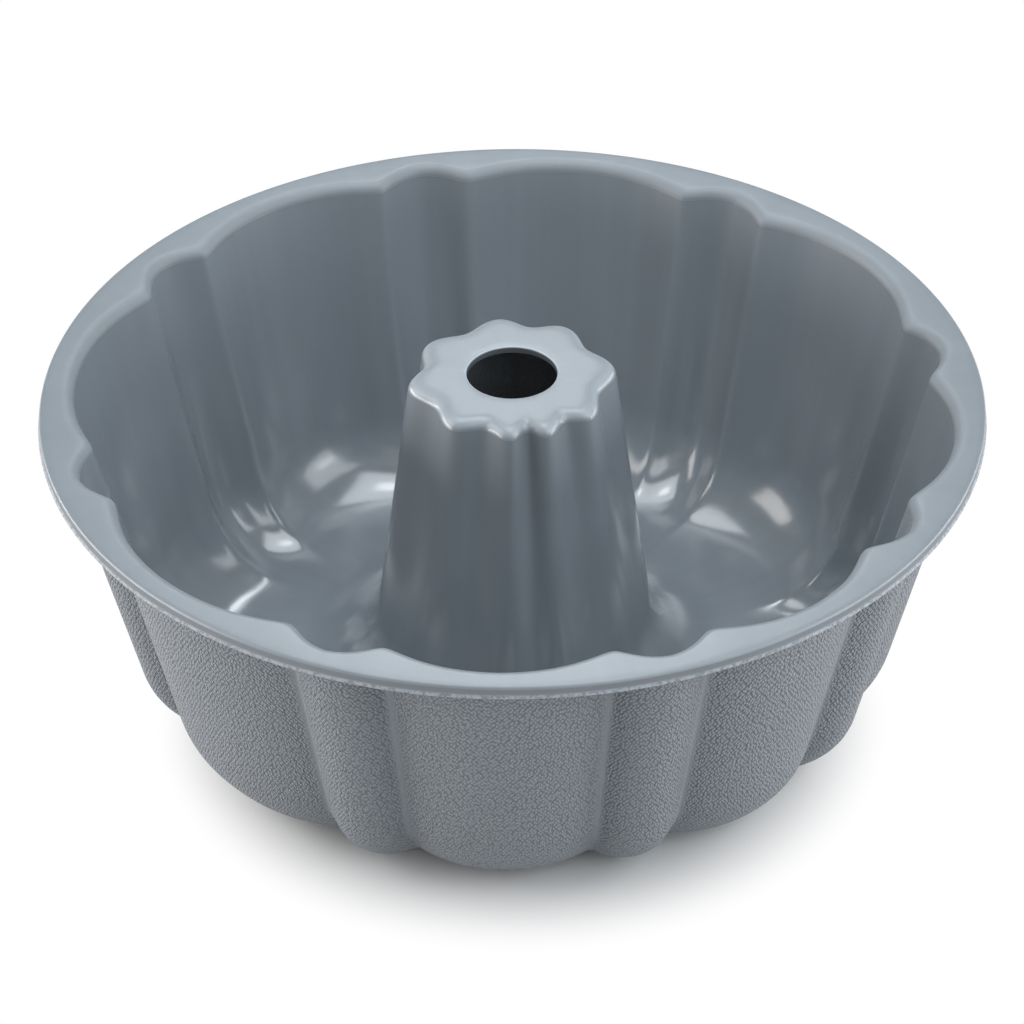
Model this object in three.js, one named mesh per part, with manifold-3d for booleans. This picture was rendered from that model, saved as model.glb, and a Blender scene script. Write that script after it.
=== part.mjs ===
import * as THREE from "three";
import { mergeVertices } from "three/addons/utils/BufferGeometryUtils.js";
import Module from "manifold-3d";

// Fluted tube pan: one silicone moulding with a steel ring moulded into its rim.
// Millimetres, +Z up. The origin is on the table, under the middle of the tube.

// Rim and wall
const rimRadius = 122;
const rimHeight = 88;
const rimOverhang = 4.6; // from the crest of a lobe's outer face to the rim's edge
const rimEdgeRadius = 0.8;
const lipRadius = 3.6; // soft turn from the rim's top into the pan
const beadHeight = 0.9; // raised line round the foot of the rim's edge
const beadStep = 0.3;
const wallThickness = 2.6;
const wallTaper = 13.7; // degrees from upright
const footRadius = 27; // outer face, from the wall to the flat of the bottom

// Flutes: a narrow lobe at each bearing, a wide lobe between each two
const fluteBearings = [11, 57.6, 102.7, 146, 197, 247, 289, 329]; // degrees from +X
const fluteHalf = 6.6; // half of a narrow lobe, in degrees
const fluteDepth = 5.5;
const fluteRun = 0.72; // share of the floor's flat that the ridges run in over
const lobeFullness = 2.4; // higher gives flatter crests and steeper sides
const ridgeSoftness = 1.2; // rounding of the ridges inside, in degrees
const grooveSoftness = 0.7; // rounding of the grooves outside, in degrees

// Centre tube
const tubeHeight = 95.3;
const tubeRadius = 27; // crest of its upper edge
const tubeTaper = 7.6; // degrees from upright
const tubeEdgeRadius = 2.6;
const tubeFootRadius = 22; // cake side, from the tube to the floor
const tubeTopThickness = 1.9;
const holeRadius = 11.7;
const holeEdgeRadius = 0.5;
const bumpBearings = [8, 57, 98, 146, 189, 235, 269, 289.5, 319]; // degrees from +X
const scallopDepth = 3.5; // at the tube's top, from a bump to a notch
const scallopFade = 0.3; // share of it left at the tube's foot

// Steel ring in the rim
const wireRadius = 0.8;
const wireClearance = 0.3;
const wireCover = 0.7; // silicone over and under the ring's channel
const wireInset = 3; // from the rim's edge to the middle of the wire
const pinRadius = 0.9; // holes left by the pins that hold the ring in the mould

// Facets
const narrowSteps = 6;
const wideSteps = 8;
const footSteps = 5;
const tubeFootSteps = 4;
const edgeSteps = 3;
const cornerSteps = 2;
const ringSteps = 72;
const wireSides = 8;
const pinSides = 10;

const rad = THREE.MathUtils.degToRad;
const channelRadius = wireRadius + wireClearance;
const flangeThickness = 2 * (channelRadius + wireCover);
const ringRadius = rimRadius - wireInset;
const ringHeight = rimHeight - flangeThickness / 2;

// Bearings round the pan, close together at the grooves: each station knows how far it is from the
// nearest groove and how wide its lobe is.
function fluteStations() {
  const stations = [];
  const addLobe = (from, to, steps) => {
    const half = (to - from) / 2;
    for (let i = 0; i < steps; i++) {
      const across = Math.sin(((2 * i) / steps - 1) * rad(90));
      stations.push({
        bearing: from + half * (1 + across),
        edge: half * (1 - Math.abs(across)),
        half,
      });
    }
  };
  fluteBearings.forEach((bearing, k) => {
    const next = fluteBearings[k + 1] ?? fluteBearings[0] + 360;
    addLobe(bearing - fluteHalf, bearing + fluteHalf, narrowSteps);
    addLobe(bearing + fluteHalf, next - fluteHalf, wideSteps);
  });
  return stations;
}

// 1 in a groove, 0 on a lobe's crest: full lobes that meet in a rounded groove
function groove(station, softness) {
  const away = Math.hypot(station.edge, softness) - softness;
  return (1 - away / station.half) ** lobeFullness;
}

// 1 in a notch of the tube, 0 on a bump
function notch(bearing) {
  const first = bumpBearings[0];
  const turned = first + THREE.MathUtils.euclideanModulo(bearing - first, 360);
  const k = bumpBearings.findLastIndex((b) => b <= turned);
  const next = bumpBearings[k + 1] ?? first + 360;
  const across = (turned - bumpBearings[k]) / (next - bumpBearings[k]);
  return Math.sin(across * Math.PI) ** 2;
}

// The moulding's section on a lobe's crest, all the way round it. Each point has its radius and height,
// how far a groove draws it in, how that pull leans (0 level, 90 upwards), how the groove is rounded,
// and how far a notch of the tube draws it in.
function panSection() {
  const section = [];
  const add = (r, z, pull = {}) =>
    section.push({ r, z, flute: 0, lean: 0, softness: 0, scallop: 0, ...pull });
  const arc = (r, z, radius, from, to, steps, pullAt = () => ({})) => {
    for (let i = 0; i <= steps; i++) {
      const share = i / steps;
      const turn = rad(from + (to - from) * share);
      add(r + radius * Math.cos(turn), z + radius * Math.sin(turn), pullAt(share));
    }
  };
  const lean = Math.tan(rad(wallTaper));
  const wallSlant = wallThickness / Math.cos(rad(wallTaper));
  const tubeSlant = wallThickness / Math.cos(rad(tubeTaper));
  const crestAt = (z) => rimRadius - rimOverhang - lean * (rimHeight - z);
  const edgeMiddle = [tubeRadius - tubeEdgeRadius, tubeHeight - tubeEdgeRadius];
  const tubeTop = edgeMiddle[0] + tubeEdgeRadius / Math.cos(rad(tubeTaper));
  const tubeAt = (z) => tubeTop + Math.tan(rad(tubeTaper)) * (edgeMiddle[1] - z);

  // Ends of the bottom's flat, under the centres of the foot's and of the tube's turn
  const footTangent = footRadius * (1 - Math.sin(rad(wallTaper)));
  const flatOuter = crestAt(footTangent) - footRadius * Math.cos(rad(wallTaper));
  const tubeFootTop = wallThickness + tubeFootRadius * (1 - Math.sin(rad(tubeTaper)));
  const flatInner = tubeAt(tubeFootTop) + tubeFootRadius * Math.cos(rad(tubeTaper));
  const tubeFootMiddle = wallThickness + tubeFootRadius;

  // Flutes: full on the wall, then dying out round the foot's turn and in over the flat
  const runLength = fluteRun * (flatOuter - flatInner);
  const turnLength = footRadius * rad(90 - wallTaper);
  const turnShare = turnLength / (turnLength + runLength);
  const depthLeft = (share) => (fluteDepth * (1 + Math.cos(share * Math.PI))) / 2;
  const onWall = (softness) => ({ flute: fluteDepth, softness });
  const onTurn = (share, softness) => ({ flute: depthLeft(turnShare * share), lean: 90 * share, softness });
  const onFlat = (share, softness) => ({
    flute: depthLeft(turnShare + (1 - turnShare) * share),
    lean: 90,
    softness,
  });
  const runRadius = (share) => flatOuter - runLength * share;
  const scallopLeft = (share) => ({ scallop: scallopDepth * scallopFade * (1 - share) });

  // Hole, top of the tube, its side and its turn into the floor
  const holeEdge = [holeRadius + holeEdgeRadius, tubeHeight - holeEdgeRadius];
  arc(...holeEdge, holeEdgeRadius, 180, 90, 1);
  arc(...edgeMiddle, tubeEdgeRadius, 90, tubeTaper, edgeSteps, () => ({ scallop: scallopDepth }));
  arc(flatInner, tubeFootMiddle, tubeFootRadius, 180 + tubeTaper, 270, tubeFootSteps, scallopLeft);

  // Floor, the foot's turn inside, the wall and the lip
  for (const share of [1, 0.5]) add(runRadius(share), wallThickness, onFlat(share, ridgeSoftness));
  arc(flatOuter, footRadius, footRadius - wallThickness, 270, 360 - wallTaper, footSteps, (share) =>
    onTurn(1 - share, ridgeSoftness),
  );
  const lipMiddle = rimHeight - lipRadius;
  const lipTangent = lipMiddle + lipRadius * Math.sin(rad(wallTaper));
  const lipCentre = crestAt(lipTangent) - wallSlant + lipRadius * Math.cos(rad(wallTaper));
  arc(lipCentre, lipMiddle, lipRadius, 180 - wallTaper, 90, edgeSteps, () => onWall(ridgeSoftness));

  // Rim: rounded edge, plain band, raised line, underside
  const flangeFoot = rimHeight - flangeThickness;
  const bandRadius = rimRadius - beadStep;
  arc(bandRadius - rimEdgeRadius, rimHeight - rimEdgeRadius, rimEdgeRadius, 90, 0, cornerSteps);
  add(bandRadius, flangeFoot + beadHeight);
  add(rimRadius, flangeFoot + beadHeight / 2);
  add(bandRadius, flangeFoot);
  add(crestAt(flangeFoot), flangeFoot, onWall(grooveSoftness));

  // Wall and foot outside, flat of the bottom, and the hollow up into the tube
  arc(flatOuter, footRadius, footRadius, 360 - wallTaper, 270, footSteps, (share) =>
    onTurn(share, grooveSoftness),
  );
  for (const share of [0.5, 1]) add(runRadius(share), 0, onFlat(share, grooveSoftness));
  const hollowTurn = tubeFootRadius + wallThickness;
  arc(flatInner, tubeFootMiddle, hollowTurn, 270, 180 + tubeTaper, tubeFootSteps, (share) =>
    scallopLeft(1 - share),
  );
  const hollowTop = tubeHeight - tubeTopThickness;
  add(tubeAt(hollowTop) - tubeSlant, hollowTop, { scallop: scallopDepth });
  add(holeRadius, hollowTop);
  section.push(section[0]);
  return section.reverse();
}

// Turns the section round the axis and draws it in at each station by its flute and scallop
function fluted(section, stations) {
  const points = section.map((p) => new THREE.Vector2(p.r, p.z));
  const lathe = new THREE.LatheGeometry(points, stations.length);
  const position = lathe.getAttribute("position");
  for (let column = 0; column <= stations.length; column++) {
    const station = stations[column % stations.length];
    const across = Math.cos(rad(station.bearing));
    const along = Math.sin(rad(station.bearing));
    section.forEach((p, i) => {
      const pull = p.flute * groove(station, p.softness);
      const r = p.r - pull * Math.cos(rad(p.lean)) - p.scallop * notch(station.bearing);
      const z = p.z + pull * Math.sin(rad(p.lean));
      position.setXYZ(column * section.length + i, r * across, r * along, z);
    });
  }
  return lathe;
}

const wasm = await Module();
wasm.setup();

function toSolid(geometry) {
  const bare = geometry.clone();
  bare.deleteAttribute("normal");
  bare.deleteAttribute("uv");
  const merged = mergeVertices(bare);
  const vertProperties = new Float32Array(merged.getAttribute("position").array);
  const triVerts = new Uint32Array(merged.index.array);
  return new wasm.Manifold(new wasm.Mesh({ numProp: 3, vertProperties, triVerts }));
}

function toGeometry(solid) {
  const { vertProperties, triVerts } = solid.getMesh();
  const geometry = new THREE.BufferGeometry();
  geometry.setAttribute("position", new THREE.BufferAttribute(new Float32Array(vertProperties), 3));
  geometry.setIndex(new THREE.BufferAttribute(new Uint32Array(triVerts), 1));
  geometry.computeVertexNormals();
  return geometry;
}

function ringGeometry(sectionRadius) {
  return new THREE.TorusGeometry(ringRadius, sectionRadius, wireSides, ringSteps).translate(0, 0, ringHeight);
}

// One pin hole under the rim at each bearing, from the underside into the ring's channel
function pinHole(bearing) {
  const length = flangeThickness;
  return new THREE.CylinderGeometry(pinRadius, pinRadius, length, pinSides)
    .rotateX(rad(90))
    .translate(ringRadius, 0, ringHeight - length / 2)
    .rotateZ(rad(bearing));
}

function panBody() {
  let solid = toSolid(fluted(panSection(), fluteStations()));
  solid = solid.subtract(toSolid(ringGeometry(channelRadius)));
  for (const bearing of fluteBearings) solid = solid.subtract(toSolid(pinHole(bearing)));
  return toGeometry(solid);
}

function named(name, geometry, material) {
  const mesh = new THREE.Mesh(geometry, new THREE.MeshStandardMaterial(material));
  mesh.name = name;
  return mesh;
}

const pan = new THREE.Group();
pan.name = "fluted_tube_pan";
pan.add(named("pan_body", panBody(), { color: 0x7f8890, roughness: 0.45, metalness: 0 }));
pan.add(named("rim_ring", ringGeometry(wireRadius), { color: 0xb8bbbe, roughness: 0.35, metalness: 1 }));

export default pan;
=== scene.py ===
from math import radians

import bpy
import numpy as np
from mathutils import Matrix, Vector


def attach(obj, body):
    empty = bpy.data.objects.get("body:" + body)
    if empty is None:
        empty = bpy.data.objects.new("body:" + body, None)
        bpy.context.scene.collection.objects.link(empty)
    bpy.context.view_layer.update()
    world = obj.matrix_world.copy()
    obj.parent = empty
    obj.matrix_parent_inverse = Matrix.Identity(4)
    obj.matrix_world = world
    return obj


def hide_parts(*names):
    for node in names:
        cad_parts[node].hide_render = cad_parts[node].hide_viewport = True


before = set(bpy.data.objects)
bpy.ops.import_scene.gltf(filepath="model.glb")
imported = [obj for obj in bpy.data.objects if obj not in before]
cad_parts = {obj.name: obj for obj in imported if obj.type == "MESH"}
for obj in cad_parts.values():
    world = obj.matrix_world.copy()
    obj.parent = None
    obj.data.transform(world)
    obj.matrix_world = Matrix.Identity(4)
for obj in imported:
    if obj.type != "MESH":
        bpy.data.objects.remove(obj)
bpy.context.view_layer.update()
scene = bpy.context.scene
print("stage: frame loaded")

# the moulding's sizes in metres and degrees, the same as the solid's but for a tighter lip, crisper
# grooves outside and a rounder tube edge
pan = {
    "rimRadius": 0.122,
    "rimHeight": 0.088,
    "rimOverhang": 0.0046,  # of the rim past the wall
    "rimEdge": 0.0008,
    "lip": 0.0028,  # radius of the turn from the wall to the rim
    "beadHeight": 0.0009,  # of the raised line round the rim
    "beadStep": 0.0003,
    "flange": 0.0036,  # thickness of the rim
    "wall": 0.0026,
    "taper": 13.7,
    "foot": 0.027,
    "bearings": [11, 57.6, 102.7, 146, 197, 247, 289, 329],  # of the narrow lobes
    "fluteHalf": 6.6,
    "fluteDepth": 0.0055,
    "fluteRun": 0.72,  # share of the floor's flat that the flutes run in over
    "lobePower": 2.4,  # the higher, the flatter a lobe and the tighter its grooves
    "ridgeSoft": 1.2,  # inside
    "grooveSoft": 0.45,  # outside
    "tubeHeight": 0.0953,
    "tubeRadius": 0.0271,
    "tubeTaper": 7.6,
    "tubeEdge": 0.0035,
    "tubeFoot": 0.022,
    "tubeTop": 0.0019,
    "hole": 0.0117,
    "holeEdge": 0.0005,
    "bumps": [8, 57, 98, 146, 189, 235, 269, 289.5, 319],  # bearings on the tube
    "scallop": 0.0035,
    "scallopFade": 0.3,  # share of the notches' depth left at the tube's foot
    "narrowSteps": 18,
    "wideSteps": 44,
    "sharpFrom": 40,
    "polishEnd": 0.99,  # share of the wall's height at which its polish ends
    "grainSpan": 0.1,  # radius that the wall's grain is laid out on
    "grainCalm": 0.86,  # share of a groove's depth from which the grain dies away
}

# zones of the section in their order: rows, polish and grain from start to end, the share of painted light
# that makes it paler (below 0: painted shade that makes it darker; on the raised line a plain paler line),
# outside finish, and the radius that the grain is laid out on where it isn't the wall's
zones = {
    # painted shade: the bore and the inner turn of the hole's edge are darkened; painted highlight: the rest of
    # the hole's edge is paler
    "bore": {"steps": 3, "span": 0.02, "paintedLightAndPaleLine": -0.55},
    "holeEdge": {"steps": 5, "span": 0.02, "paintedLightAndPaleLine": [-0.55, 0.4, 1.5, 1.5, 1]},
    "tubeTop": {"steps": 5, "span": 0.02},
    # painted highlight: the tube's rounded top edge is paler, most at the middle of its turn
    "tubeEdge": {"steps": 10, "span": 0.03, "polish": (-0.5, 0.4),
                 "paintedLightAndPaleLine": 0.6 * np.sin(np.linspace(0, np.pi, 10))},
    "tubeSide": {"steps": 12, "span": 0.03, "polish": (0.7, 0.82)},
    "tubeFoot": {"steps": 16, "span": 0.03, "polish": (0.82, 1)},
    "floorFlat": {"steps": 2, "polish": (1, 1)},
    "floorFlutes": {"steps": 6, "polish": (1, 1)},
    "footInside": {"steps": 24, "polish": (1, 1)},
    "wallInside": {"steps": 14, "polish": (1, 0.7)},
    "wallEnd": {"steps": 1, "polish": (0.7, 0.7)},
    "lip": {"steps": 8, "polish": (-1.2, -1.2)},
    # painted light: the rim's top and its rounded edge are made slightly paler
    "rimTop": {"steps": 4, "paintedLightAndPaleLine": 0.1},
    "rimEdge": {"steps": 6, "paintedLightAndPaleLine": 0.1},
    # painted shade: the smooth band under the rim's edge is darkened
    "band": {"steps": 3, "paintedLightAndPaleLine": -0.22, "outside": 1},
    # the raised line is made paler, with pale specks
    "bead": {"steps": 2, "paintedLightAndPaleLine": 1, "outside": 1},
    "rimUnder": {"steps": 4, "grain": (1, 1), "outside": 1},
    "wallOutside": {"steps": 16, "grain": (1, 0.85), "outside": 1},
    "footOutside": {"steps": 24, "grain": (0.85, 0.3), "outside": 1},
    "underFlutes": {"steps": 6, "grain": (0.3, 0.3), "outside": 1, "span": 0.068},
    "underFlat": {"steps": 2, "grain": (0.3, 0.3), "outside": 1, "span": 0.068},
    "hollowFoot": {"steps": 12, "grain": (0.3, 0.2), "outside": 1, "span": 0.04},
    "hollowSide": {"steps": 8, "grain": (0.2, 0.2), "outside": 1, "span": 0.028},
    "hollowTop": {"steps": 3, "grain": (0.2, 0.2), "outside": 1, "span": 0.02},
}


def mix(low, high, share):
    return low + (high - low) * share


def stations():
    # bearings round the pan: each lobe is crossed as a sine, so the columns crowd at the grooves
    bearing, edge, half = [], [], []
    marks = pan["bearings"] + [pan["bearings"][0] + 360]
    spans = []
    for here, after in zip(marks[:-1], marks[1:]):
        spans.append((here - pan["fluteHalf"], here + pan["fluteHalf"], pan["narrowSteps"]))
        spans.append((here + pan["fluteHalf"], after - pan["fluteHalf"], pan["wideSteps"]))
    for low, high, steps in spans:
        across = np.sin((2 * np.arange(steps) / steps - 1) * np.pi / 2)
        halfSpan = (high - low) / 2
        bearing.append(low + halfSpan * (1 + across))
        edge.append(halfSpan * (1 - np.abs(across)))
        half.append(np.full(steps, halfSpan))
    return np.concatenate(bearing), np.concatenate(edge), np.concatenate(half)


def notchShare(bearing):
    # sine squared of the way from one bump to the next: 0 on a bump, 1 in the notch half way
    marks = np.array(pan["bumps"] + [pan["bumps"][0] + 360], float)
    turned = marks[0] + np.mod(bearing - marks[0], 360)
    k = np.clip(np.searchsorted(marks, turned, side="right") - 1, 0, len(marks) - 2)
    across = (turned - marks[k]) / (marks[k + 1] - marks[k])
    return np.sin(across * np.pi) ** 2


def panSection():
    # the closed section on a lobe's crest, made of lines and arcs. Each point has its radius and height, the
    # depth that a groove draws it in by, that draw's lean from level to upright, the groove's softness in
    # degrees, the depth of the tube's notches, and its zone's finish and share of painted light and shade
    p = pan
    rows = []
    taper, tubeTaper = radians(p["taper"]), radians(p["tubeTaper"])

    def carry(r, z, t, flute=None, lean=(0, 0), soft=0, scallop=(0, 0), polish=(0, 0), grain=(0, 0),
              span=p["grainSpan"], outside=0, paintedLightAndPaleLine=0):
        fields = (r, z, flute(t) if flute else 0, mix(*lean, t), soft, mix(*scallop, t), mix(*polish, t),
                  span, outside, mix(*grain, t), paintedLightAndPaleLine)
        rows.append(np.stack([np.broadcast_to(np.asarray(v, float), t.shape) for v in fields], -1))

    def line(start, end, steps, **finish):
        t = np.linspace(0, 1, steps, endpoint=False)
        carry(mix(start[0], end[0], t), mix(start[1], end[1], t), t, **finish)

    def arc(mid, radius, low, high, steps, **finish):
        t = np.linspace(0, 1, steps, endpoint=False)
        turn = np.radians(mix(low, high, t))
        carry(mid[0] + radius * np.cos(turn), mid[1] + radius * np.sin(turn), t, **finish)

    def crest(z):
        return p["rimRadius"] - p["rimOverhang"] - np.tan(taper) * (p["rimHeight"] - z)

    def around(mid, radius, turn):
        return (mid[0] + radius * np.cos(radians(turn)), mid[1] + radius * np.sin(radians(turn)))

    edgeMid = (p["tubeRadius"] - p["tubeEdge"], p["tubeHeight"] - p["tubeEdge"])

    def tube(z):
        return edgeMid[0] + p["tubeEdge"] / np.cos(tubeTaper) + np.tan(tubeTaper) * (edgeMid[1] - z)

    flatOuter = crest(p["foot"] * (1 - np.sin(taper))) - p["foot"] * np.cos(taper)
    tubeFootTop = p["wall"] + p["tubeFoot"] * (1 - np.sin(tubeTaper))
    flatInner = tube(tubeFootTop) + p["tubeFoot"] * np.cos(tubeTaper)
    fluteEnd = mix(flatOuter, flatInner, p["fluteRun"])
    footMid, tubeFootMid = (flatOuter, p["foot"]), (flatInner, p["wall"] + p["tubeFoot"])
    depth, scallop = p["fluteDepth"], p["scallop"]
    low = scallop * p["scallopFade"]
    turnLength = p["foot"] * (np.pi / 2 - taper)
    turnShare = turnLength / (turnLength + flatOuter - fluteEnd)  # of the way over which a flute dies

    def full(t):
        return depth + 0 * t

    def dying(share):
        return depth * (1 + np.cos(np.pi * share)) / 2

    ridge, groove = p["ridgeSoft"], p["grooveSoft"]
    # hole and top of the tube
    holeTop = p["tubeHeight"] - p["tubeTop"]
    holeMid = (p["hole"] + p["holeEdge"], p["tubeHeight"] - p["holeEdge"])
    line((p["hole"], holeTop), (p["hole"], holeMid[1]), **zones["bore"])
    arc(holeMid, p["holeEdge"], 180, 90, **zones["holeEdge"])
    line((holeMid[0], p["tubeHeight"]), (edgeMid[0], p["tubeHeight"]), scallop=(0, scallop), **zones["tubeTop"])
    arc(edgeMid, p["tubeEdge"], 90, p["tubeTaper"], scallop=(scallop, scallop), **zones["tubeEdge"])
    # side of the tube and its turn into the floor
    sideTop, sideFoot = around(edgeMid, p["tubeEdge"], p["tubeTaper"]), (tube(tubeFootTop), tubeFootTop)
    line(sideTop, sideFoot, scallop=(scallop, low), **zones["tubeSide"])
    arc(tubeFootMid, p["tubeFoot"], 180 + p["tubeTaper"], 270, scallop=(low, 0), **zones["tubeFoot"])
    # floor and foot inside, wall and lip
    line((flatInner, p["wall"]), (fluteEnd, p["wall"]), **zones["floorFlat"])
    line((fluteEnd, p["wall"]), (flatOuter, p["wall"]), flute=lambda t: dying(1 - t * (1 - turnShare)),
         lean=(90, 90), soft=ridge, **zones["floorFlutes"])
    inner = p["foot"] - p["wall"]
    arc(footMid, inner, 270, 360 - p["taper"], flute=lambda t: dying(turnShare * (1 - t)),
        lean=(90, 0), soft=ridge, **zones["footInside"])
    lipMid = p["rimHeight"] - p["lip"]
    lipR = crest(lipMid + p["lip"] * np.sin(taper)) - p["wall"] / np.cos(taper) + p["lip"] * np.cos(taper)
    wallTop = around((lipR, lipMid), p["lip"], 180 - p["taper"])
    wallFoot = around(footMid, inner, -p["taper"])
    wallEnd = tuple(mix(foot, top, p["polishEnd"]) for foot, top in zip(wallFoot, wallTop))
    line(wallFoot, wallEnd, flute=full, soft=ridge, **zones["wallInside"])
    line(wallEnd, wallTop, flute=full, soft=ridge, **zones["wallEnd"])
    arc((lipR, lipMid), p["lip"], 180 - p["taper"], 90, flute=full, soft=ridge, **zones["lip"])
    # rim: top, rounded edge, smooth band, raised line, underside
    band = p["rimRadius"] - p["beadStep"]
    under = p["rimHeight"] - p["flange"]
    edgeR, edgeZ = band - p["rimEdge"], p["rimHeight"] - p["rimEdge"]
    line((lipR, p["rimHeight"]), (edgeR, p["rimHeight"]), flute=lambda t: depth * (1 - t), soft=ridge,
         **zones["rimTop"])
    arc((edgeR, edgeZ), p["rimEdge"], 90, 0, **zones["rimEdge"])
    line((band, edgeZ), (band, under + p["beadHeight"]), **zones["band"])
    beadTop = (p["rimRadius"], under + p["beadHeight"] / 2)
    line((band, under + p["beadHeight"]), beadTop, **zones["bead"])
    line(beadTop, (band, under), **zones["bead"])
    line((band, under), (crest(under), under), flute=lambda t: depth * t, soft=groove, **zones["rimUnder"])
    # wall, foot and flat outside
    line((crest(under), under), around(footMid, p["foot"], -p["taper"]), flute=full, soft=groove,
         **zones["wallOutside"])
    arc(footMid, p["foot"], 360 - p["taper"], 270, flute=lambda t: dying(turnShare * t),
        lean=(0, 90), soft=groove, **zones["footOutside"])
    line((flatOuter, 0), (fluteEnd, 0), flute=lambda t: dying(turnShare + t * (1 - turnShare)),
         lean=(90, 90), soft=groove, **zones["underFlutes"])
    line((fluteEnd, 0), (flatInner, 0), **zones["underFlat"])
    # hollow up into the tube
    hollow = p["tubeFoot"] + p["wall"]
    arc(tubeFootMid, hollow, 270, 180 + p["tubeTaper"], scallop=(0, low), **zones["hollowFoot"])
    hollowTop = (tube(holeTop) - p["wall"] / np.cos(tubeTaper), holeTop)
    line(around(tubeFootMid, hollow, 180 + p["tubeTaper"]), hollowTop, scallop=(low, scallop),
         **zones["hollowSide"])
    line(hollowTop, (p["hole"], holeTop), scallop=(scallop, 0), **zones["hollowTop"])
    return np.concatenate(rows).T


def gridMesh(name, points, attributes, layout, finish):
    # a grid of points closed both ways: column by column round the pan, row by row round the section.
    # layout is the flat place of each face's four corners, finish the number of each face's material
    columns, rowCount = points.shape[:2]
    index = np.arange(columns * rowCount).reshape(columns, rowCount)
    right, up = np.roll(index, -1, 0), np.roll(index, -1, 1)
    faces = np.stack([index, up, np.roll(right, -1, 1), right], -1).reshape(-1, 4)
    mesh = bpy.data.meshes.new(name)
    mesh.from_pydata(points.reshape(-1, 3), [], faces)
    for label, values in attributes.items():
        layer = mesh.attributes.new(label, "FLOAT", "POINT")
        layer.data.foreach_set("value", np.ascontiguousarray(values, np.float32).ravel())
    chart = mesh.uv_layers.new(name="grainMap")
    chart.uv.foreach_set("vector", np.ascontiguousarray(layout, np.float32).ravel())
    mesh.polygons.foreach_set("material_index", np.ascontiguousarray(finish, np.int32).ravel())
    mesh.polygons.foreach_set("use_smooth", np.ones(len(mesh.polygons), bool))
    mesh.set_sharp_from_angle(angle=radians(pan["sharpFrom"]))
    mesh.update()
    piece = bpy.data.objects.new(name, mesh)
    scene.collection.objects.link(piece)
    return piece


def panSurface():
    # each section point is turned round the axis and drawn in by flute depth times the groove's shape, which
    # is (1 - softened distance to the groove / half lobe) to a power, and by notch depth on the tube
    bearing, edge, half = stations()
    r, z, flute, lean, soft, scallop, polish, span, outside, grain, paintedLightAndPaleLine = panSection()
    groove = (1 - (np.hypot(edge[:, None], soft) - soft) / half[:, None]) ** pan["lobePower"]
    drawn = flute * groove
    radius = r - drawn * np.cos(np.radians(lean)) - scallop * notchShare(bearing)[:, None]
    height = z + drawn * np.sin(np.radians(lean))
    turn = np.radians(bearing)[:, None]
    points = np.stack([radius * np.cos(turn), radius * np.sin(turn), height], -1)
    # flat layout of the grain: across is the way round the fluted wall at half its height, scaled to the
    # zone's radius, along is the way round the section
    step = np.hypot(np.diff(r, append=r[0]), np.diff(z, append=z[0]))
    along = np.concatenate([[0], np.cumsum(step)])
    offWall = (outside < 1) + (r < pan["rimRadius"] / 2)
    ring = points[:, np.argmin(np.abs(z - pan["rimHeight"] / 2) + offWall)]
    way = np.linalg.norm(np.roll(ring, -1, 0) - ring, axis=-1)
    across = np.concatenate([[0], np.cumsum(way)])[:, None] / pan["grainSpan"]
    here, after = across[:-1], across[1:]
    shape = radius.shape
    corners = [(here, along[:-1]), (here, along[1:]), (after, along[1:]), (after, along[:-1])]
    layout = np.stack([np.stack([np.broadcast_to(t * span, shape), np.broadcast_to(v, shape)], -1)
                       for t, v in corners], 2)
    calm = np.clip((1 - groove * flute / pan["fluteDepth"]) / (1 - pan["grainCalm"]), 0, 1)
    # painted light: this share makes the hole's and tube's edges and the rim's top paler and the bore and band
    # darker as painted shade; on the raised line it makes a paler line
    marks = {"grainShare": grain * calm, "paintedLightAndPaleLineShare": np.broadcast_to(paintedLightAndPaleLine, shape),
             "polish": np.broadcast_to(polish, shape)}
    return gridMesh("panSurface", points, marks, layout, np.broadcast_to(outside, shape))


body = panSurface()
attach(body, "root")
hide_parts("pan_body")
print("stage: pan surface,", len(body.data.polygons) * 2, "triangles")


def addNode(tree, kind, inputs=None, **settings):
    made = tree.nodes.new(kind)
    for name, value in settings.items():
        setattr(made, name, value)
    for name, value in (inputs or {}).items():
        if isinstance(value, bpy.types.NodeSocket):
            tree.links.new(value, made.inputs[name])
        else:
            made.inputs[name].default_value = value
    return made


def calc(tree, operation, first, second=0.0, third=0.0, clamp=False):
    values = {0: first, 1: second, 2: third}
    return addNode(tree, "ShaderNodeMath", values, operation=operation, use_clamp=clamp).outputs[0]


def noise(tree, place, scale, detail):
    values = {"Vector": place, "Scale": scale, "Detail": detail}
    return addNode(tree, "ShaderNodeTexNoise", values).outputs["Fac"]


def marked(tree, name):
    return addNode(tree, "ShaderNodeAttribute", attribute_name=name).outputs["Fac"]


# how fine each pattern is; flow across and along the wall
pigment = {"cloud": 34, "flow": (170, 7, 1), "smear": 52}


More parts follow.
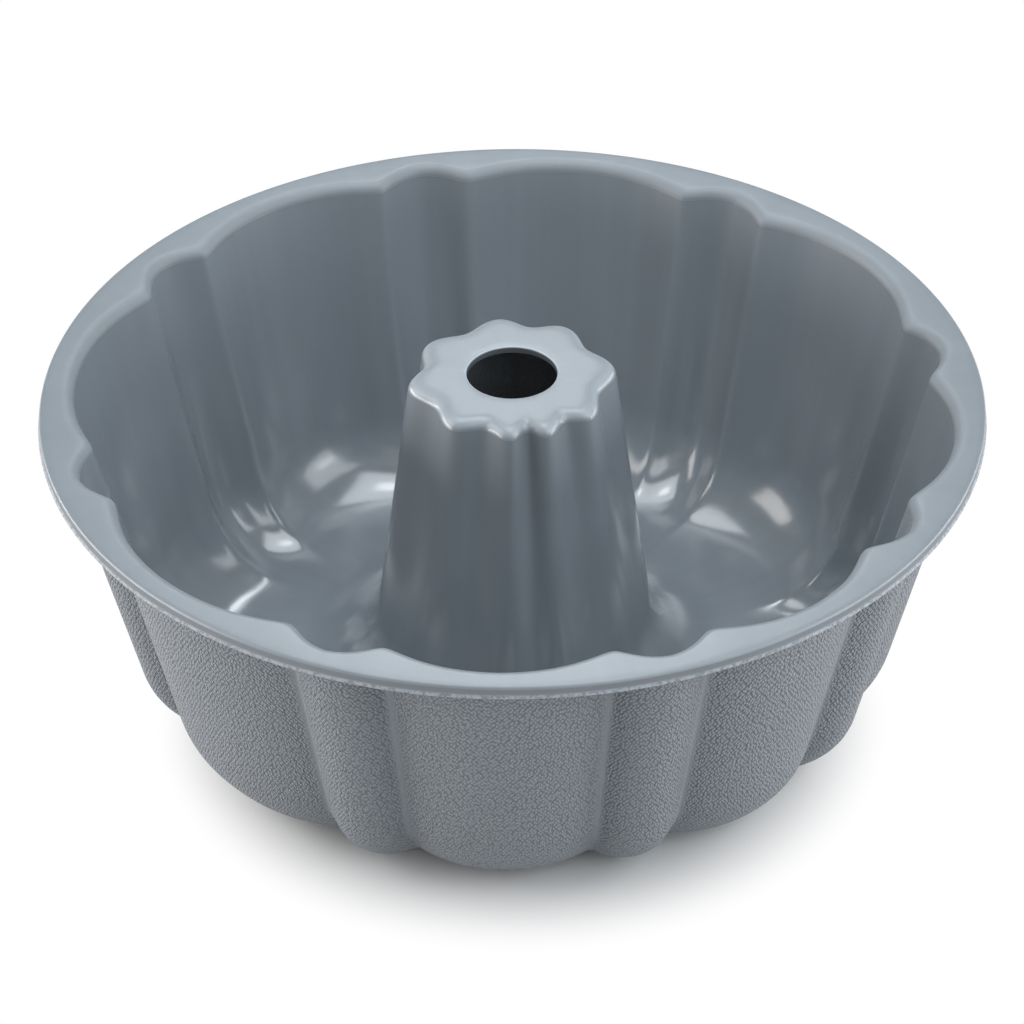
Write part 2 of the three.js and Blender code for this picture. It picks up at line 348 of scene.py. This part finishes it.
def siliconeToneGroup():
    # cloudy pigment, faint flow streaks up the wall and smears of handling, each a value round its middle
    group = bpy.data.node_groups.new("siliconeTone", "ShaderNodeTree")
    for name in ("Cloud", "Flow"):
        group.interface.new_socket(name, in_out="INPUT", socket_type="NodeSocketFloat")
    for name in ("Tone", "Smear"):
        group.interface.new_socket(name, in_out="OUTPUT", socket_type="NodeSocketFloat")
    given = addNode(group, "NodeGroupInput")
    place = addNode(group, "ShaderNodeTexCoord").outputs["Object"]
    chart = addNode(group, "ShaderNodeUVMap", uv_map="grainMap").outputs[0]
    stretched = addNode(group, "ShaderNodeMapping", {"Vector": chart, "Scale": pigment["flow"]}).outputs[0]
    cloud = noise(group, place, pigment["cloud"], 3)
    streak = noise(group, stretched, 1, 2)
    smear = noise(group, place, pigment["smear"], 4)
    clouded = calc(group, "MULTIPLY", calc(group, "SUBTRACT", cloud, 0.5), given.outputs["Cloud"])
    flowing = calc(group, "MULTIPLY", calc(group, "SUBTRACT", streak, 0.5), given.outputs["Flow"])
    tone = calc(group, "ADD", calc(group, "ADD", clouded, flowing), 1.0)
    addNode(group, "NodeGroupOutput", {"Tone": tone, "Smear": smear})
    return group


def toned(tree, colour, tone):
    # a colour times a value
    made = addNode(tree, "ShaderNodeVectorMath", {0: colour, 1: tone}, operation="MULTIPLY")
    return made.outputs[0]


def newMaterial(name):
    material = bpy.data.materials.new(name)
    material.use_nodes = True
    return material, material.node_tree, material.node_tree.nodes["Principled BSDF"]


siliconeTone = siliconeToneGroup()
satin = {
    "colour": (0.214, 0.243, 0.27),
    "paintedLightAndPaleLine": 1.8,  # times the colour for painted light: paler edges and rim top, and below 0 painted shade in the bore
    "roughness": 0.36,  # on the rim and the tube's top
    "polished": 0.18,  # on the floor
    "specular": 1.0,
    "coat": 0.9,  # of the polished floor
    "coatFrom": 0.7,  # polish from which the coat sets in
    "coatRoughness": 0.16,
    "smear": 0.04,
    "cloud": 0.12,
    "flow": 0.14,
    "ripple": 0.04,
    "rippleScale": 210,
    "rippleHeight": 0.001,
}


def satinMaterial():
    # inside, rim and tube: smooth, with slight clouds, smears in the gloss and a hint of moulding ripple
    material, tree, shader = newMaterial("siliconeSatin")
    shares = {"Cloud": satin["cloud"], "Flow": satin["flow"]}
    tone = addNode(tree, "ShaderNodeGroup", shares, node_tree=siliconeTone)
    # painted light: the hole's and tube's edges and the rim's top are paler as painted highlight, and the bore
    # is darker as painted shade
    paintedLightAndPaleLine = marked(tree, "paintedLightAndPaleLineShare")
    paler = calc(tree, "MULTIPLY_ADD", paintedLightAndPaleLine, satin["paintedLightAndPaleLine"] - 1, 1.0)
    level = calc(tree, "MULTIPLY", paler, tone.outputs["Tone"])
    tree.links.new(toned(tree, satin["colour"], level), shader.inputs["Base Color"])
    polish = marked(tree, "polish")
    dulled = calc(tree, "MULTIPLY_ADD", polish, satin["polished"] - satin["roughness"], satin["roughness"])
    smear = calc(tree, "MULTIPLY", calc(tree, "SUBTRACT", tone.outputs["Smear"], 0.5), satin["smear"])
    tree.links.new(calc(tree, "ADD", dulled, smear), shader.inputs["Roughness"])
    coated = addNode(tree, "ShaderNodeMapRange", {"Value": polish, "From Min": satin["coatFrom"],
                                                  "To Max": satin["coat"]})
    tree.links.new(coated.outputs[0], shader.inputs["Coat Weight"])
    shader.inputs["Coat Roughness"].default_value = satin["coatRoughness"]
    place = addNode(tree, "ShaderNodeTexCoord").outputs["Object"]
    ripple = noise(tree, place, satin["rippleScale"], 1)
    bump = addNode(tree, "ShaderNodeBump", {"Height": ripple, "Strength": satin["ripple"],
                                            "Distance": satin["rippleHeight"]})
    tree.links.new(bump.outputs[0], shader.inputs["Normal"])
    shader.inputs["Specular IOR Level"].default_value = satin["specular"]
    return material


grained = {
    "colour": (0.4, 0.437, 0.48),
    # times the colour for painted light on the outside: the raised line paler, and the smooth band darker as
    # painted shade where the share is below 0
    "paintedLightAndPaleLine": 1.7,
    "smooth": 0.56,  # times the colour where there is no grain
    "gapShade": 0.38,  # times the colour between the pebbles, painted shade in the gaps
    "roughness": 0.52,
    "smear": 0.1,
    "cloud": 0.12,
    "flow": 0.0,
    "pebble": 0.00082,  # distance from one pebble to the next
    "slant": 45,
    "squash": 0.72,
    "uneven": 0.6,
    "edge": 1.35,  # the higher, the wider the gaps
    "dome": 1.5,
    "height": 0.0007,
    "strength": 1.0,
    "speckleScale": 1000,
    "speckle": (5.0, -1.9),  # contrast and shift of the pale specks on the raised line
}


def grainMaterial():
    # outside: pebbles on a slanted net, round on top, dying in the grooves, with painted shade between them;
    # the raised line is paler with specks and the smooth band darker as painted shade
    material, tree, shader = newMaterial("siliconeGrain")
    shares = {"Cloud": grained["cloud"], "Flow": grained["flow"]}
    tone = addNode(tree, "ShaderNodeGroup", shares, node_tree=siliconeTone)
    chart = addNode(tree, "ShaderNodeUVMap", uv_map="grainMap").outputs[0]
    net = addNode(tree, "ShaderNodeMapping", {"Vector": chart, "Rotation": (0, 0, radians(grained["slant"])),
                                              "Scale": (1, grained["squash"], 1)}).outputs[0]
    cells = addNode(tree, "ShaderNodeTexVoronoi", {"Vector": net, "Scale": 1 / grained["pebble"],
                                                   "Randomness": grained["uneven"]}, voronoi_dimensions="2D")
    gap = calc(tree, "MULTIPLY", cells.outputs["Distance"], grained["edge"])
    pebble = calc(tree, "SUBTRACT", 1.0, gap, clamp=True)
    top = calc(tree, "POWER", pebble, grained["dome"])
    share = marked(tree, "grainShare")
    paintedLightAndPaleLine = marked(tree, "paintedLightAndPaleLineShare")
    raised = calc(tree, "MULTIPLY", pebble, share)
    # painted shade: colour darker between the pebbles and paler on their tops
    gapShaded = calc(tree, "MULTIPLY_ADD", top, 1 - grained["gapShade"], grained["gapShade"] - grained["smooth"])
    level = calc(tree, "MULTIPLY_ADD", gapShaded, share, grained["smooth"])
    place = addNode(tree, "ShaderNodeTexCoord").outputs["Object"]
    speckle = noise(tree, place, grained["speckleScale"], 2)
    speckle = calc(tree, "MULTIPLY_ADD", speckle, *grained["speckle"], clamp=True)
    # painted shade darkens the band fully where the share is below 0; above 0 the raised line is paler in
    # specks
    darker = calc(tree, "LESS_THAN", paintedLightAndPaleLine, 0.0)
    paleSpecksAndPaintedShade = calc(tree, "MULTIPLY", paintedLightAndPaleLine, calc(tree, "MAXIMUM", speckle, darker))
    paler = calc(tree, "MULTIPLY_ADD", paleSpecksAndPaintedShade, grained["paintedLightAndPaleLine"] - 1, 1.0)
    value = calc(tree, "MULTIPLY", calc(tree, "MULTIPLY", level, paler), tone.outputs["Tone"])
    tree.links.new(toned(tree, grained["colour"], value), shader.inputs["Base Color"])
    gloss = calc(tree, "MULTIPLY_ADD", tone.outputs["Smear"], grained["smear"],
                 grained["roughness"] - grained["smear"] / 2)
    tree.links.new(gloss, shader.inputs["Roughness"])
    bump = addNode(tree, "ShaderNodeBump", {"Height": raised, "Strength": grained["strength"],
                                            "Distance": grained["height"]})
    tree.links.new(bump.outputs[0], shader.inputs["Normal"])
    return material


drawnSteel = {"colour": (0.55, 0.55, 0.56), "roughness": 0.28, "streak": 0.16, "streakScale": 900}


def steelMaterial():
    # wire drawn through a die: fine bright and dull streaks
    material, tree, shader = newMaterial("drawnSteel")
    place = addNode(tree, "ShaderNodeTexCoord").outputs["Object"]
    streak = noise(tree, place, drawnSteel["streakScale"], 2)
    level = calc(tree, "MULTIPLY_ADD", streak, drawnSteel["streak"], 1 - drawnSteel["streak"] / 2)
    tree.links.new(toned(tree, drawnSteel["colour"], level), shader.inputs["Base Color"])
    gloss = calc(tree, "MULTIPLY_ADD", streak, drawnSteel["streak"],
                 drawnSteel["roughness"] - drawnSteel["streak"] / 2)
    tree.links.new(gloss, shader.inputs["Roughness"])
    shader.inputs["Metallic"].default_value = 1
    return material


body.data.materials.append(satinMaterial())
body.data.materials.append(grainMaterial())
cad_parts["rim_ring"].material_slots[0].material = steelMaterial()
print("stage: materials")

studio = {
    "floorHalf": 4,
    "paper": 0.8,
    "paperRoughness": 0.8,
    "whiteFrom": 0.068,  # radius from which the floor goes over to plain white for the camera
    "whiteTo": 0.098,
    "shadowMid": (0.002, -0.02, 0),
    "fill": 0.2,
    # name: bearing, rise, distance, size, brightness, colour; each aimed at the middle of the pan
    "softboxes": {
        "overhead": (90, 86, 1.0, (0.7, 0.84), 2.35, (0.9, 0.96, 1)),
        "overheadCore": (90, 86, 0.98, (0.2, 0.24), 3.0, (0.9, 0.96, 1)),
        "right": (328, 36, 1.1, (1.27, 0.8), 1.5, (0.9, 0.96, 1)),
        "rightCore": (336, 33, 1.08, (0.36, 0.16), 1.5, (0.9, 0.96, 1)),
        "left": (185, 32, 1.1, (0.8, 0.42), 2.15, (1, 0.97, 0.94)),
        "backLow": (90, 43, 0.66, (0.2, 0.13), 7.1, (0.88, 0.95, 1)),
        "rightLow": (5, 4.5, 1.05, (1.2, 0.18), 6.2, (1, 1, 1)),
        "leftLow": (176, 4.5, 1.05, (1.2, 0.18), 9.7, (1, 0.98, 0.96)),
        "front": (270, 44, 1.6, (1.3, 0.8), 0.25, (1, 1, 1)),
    },
    "aim": (0, 0, 0.06),
}


def studioFloor():
    mesh = bpy.data.meshes.new("floor")
    half = studio["floorHalf"]
    corners = [(-half, -half, 0), (half, -half, 0), (half, half, 0), (-half, half, 0)]
    mesh.from_pydata(corners, [], [(0, 1, 2, 3)])
    floor = bpy.data.objects.new("floor", mesh)
    scene.collection.objects.link(floor)
    material, tree, shader = newMaterial("paper")
    shader.inputs["Base Color"].default_value = (studio["paper"],) * 3 + (1,)
    shader.inputs["Roughness"].default_value = studio["paperRoughness"]
    # seen by camera and reflections, the paper goes over to plain white away from the pan and its shadow
    place = addNode(tree, "ShaderNodeTexCoord").outputs["Object"]
    distance = addNode(tree, "ShaderNodeVectorMath", {0: place, 1: studio["shadowMid"]}, operation="DISTANCE")
    distance = distance.outputs["Value"]
    reach = {"Value": distance, "From Min": studio["whiteFrom"], "From Max": studio["whiteTo"]}
    away = addNode(tree, "ShaderNodeMapRange", reach, interpolation_type="SMOOTHSTEP")
    path = addNode(tree, "ShaderNodeLightPath").outputs
    seen = calc(tree, "MAXIMUM", path["Is Camera Ray"], path["Is Glossy Ray"])
    seen = calc(tree, "MAXIMUM", seen, path["Is Transmission Ray"])
    white = addNode(tree, "ShaderNodeEmission", {"Color": (1, 1, 1, 1), "Strength": 1.0})
    share = calc(tree, "MULTIPLY", seen, away.outputs[0])
    both = addNode(tree, "ShaderNodeMixShader", {0: share, 1: shader.outputs[0], 2: white.outputs[0]})
    tree.links.new(both.outputs[0], tree.nodes["Material Output"].inputs["Surface"])
    mesh.materials.append(material)


def softbox(name, bearing, rise, distance, size, brightness, colour):
    data = bpy.data.lights.new(name, "AREA")
    data.shape = "RECTANGLE"
    data.size, data.size_y = size
    data.energy = 4 * brightness * size[0] * size[1]  # watts at which its face shows that bright
    data.color = colour
    light = bpy.data.objects.new(name, data)
    turn, lift = radians(bearing), radians(rise)
    away = Vector((np.cos(lift) * np.cos(turn), np.cos(lift) * np.sin(turn), np.sin(lift)))
    place = Vector(studio["aim"]) + away * distance
    light.matrix_world = Matrix.Translation(place) @ away.to_track_quat("Z", "Y").to_matrix().to_4x4()
    scene.collection.objects.link(light)


studioFloor()
for boxName, values in studio["softboxes"].items():
    softbox(boxName, *values)
world = bpy.data.worlds.new("studio")
scene.world = world
world.use_nodes = True
world.node_tree.nodes["Background"].inputs["Color"].default_value = (1, 1, 1, 1)
world.node_tree.nodes["Background"].inputs["Strength"].default_value = studio["fill"]
print("stage: floor and light")

shot = {
    "lens": 161.72,
    "sensor": 36,
    "clipEnd": 50,
    "place": (-0.000263, -0.976564, 0.761121),
    "down": 36.0286,  # degrees below level
    "roll": -0.4273,
}
camera = bpy.data.cameras.new("camera")
camera.lens = shot["lens"]
camera.sensor_width = shot["sensor"]
camera.clip_end = shot["clipEnd"]
eye = bpy.data.objects.new("camera", camera)
tilt = Matrix.Rotation(radians(90 - shot["down"]), 4, "X") @ Matrix.Rotation(radians(shot["roll"]), 4, "Z")
eye.matrix_world = Matrix.Translation(shot["place"]) @ tilt
scene.collection.objects.link(eye)
scene.camera = eye
scene.view_settings.view_transform = "Standard"
print("stage: camera")
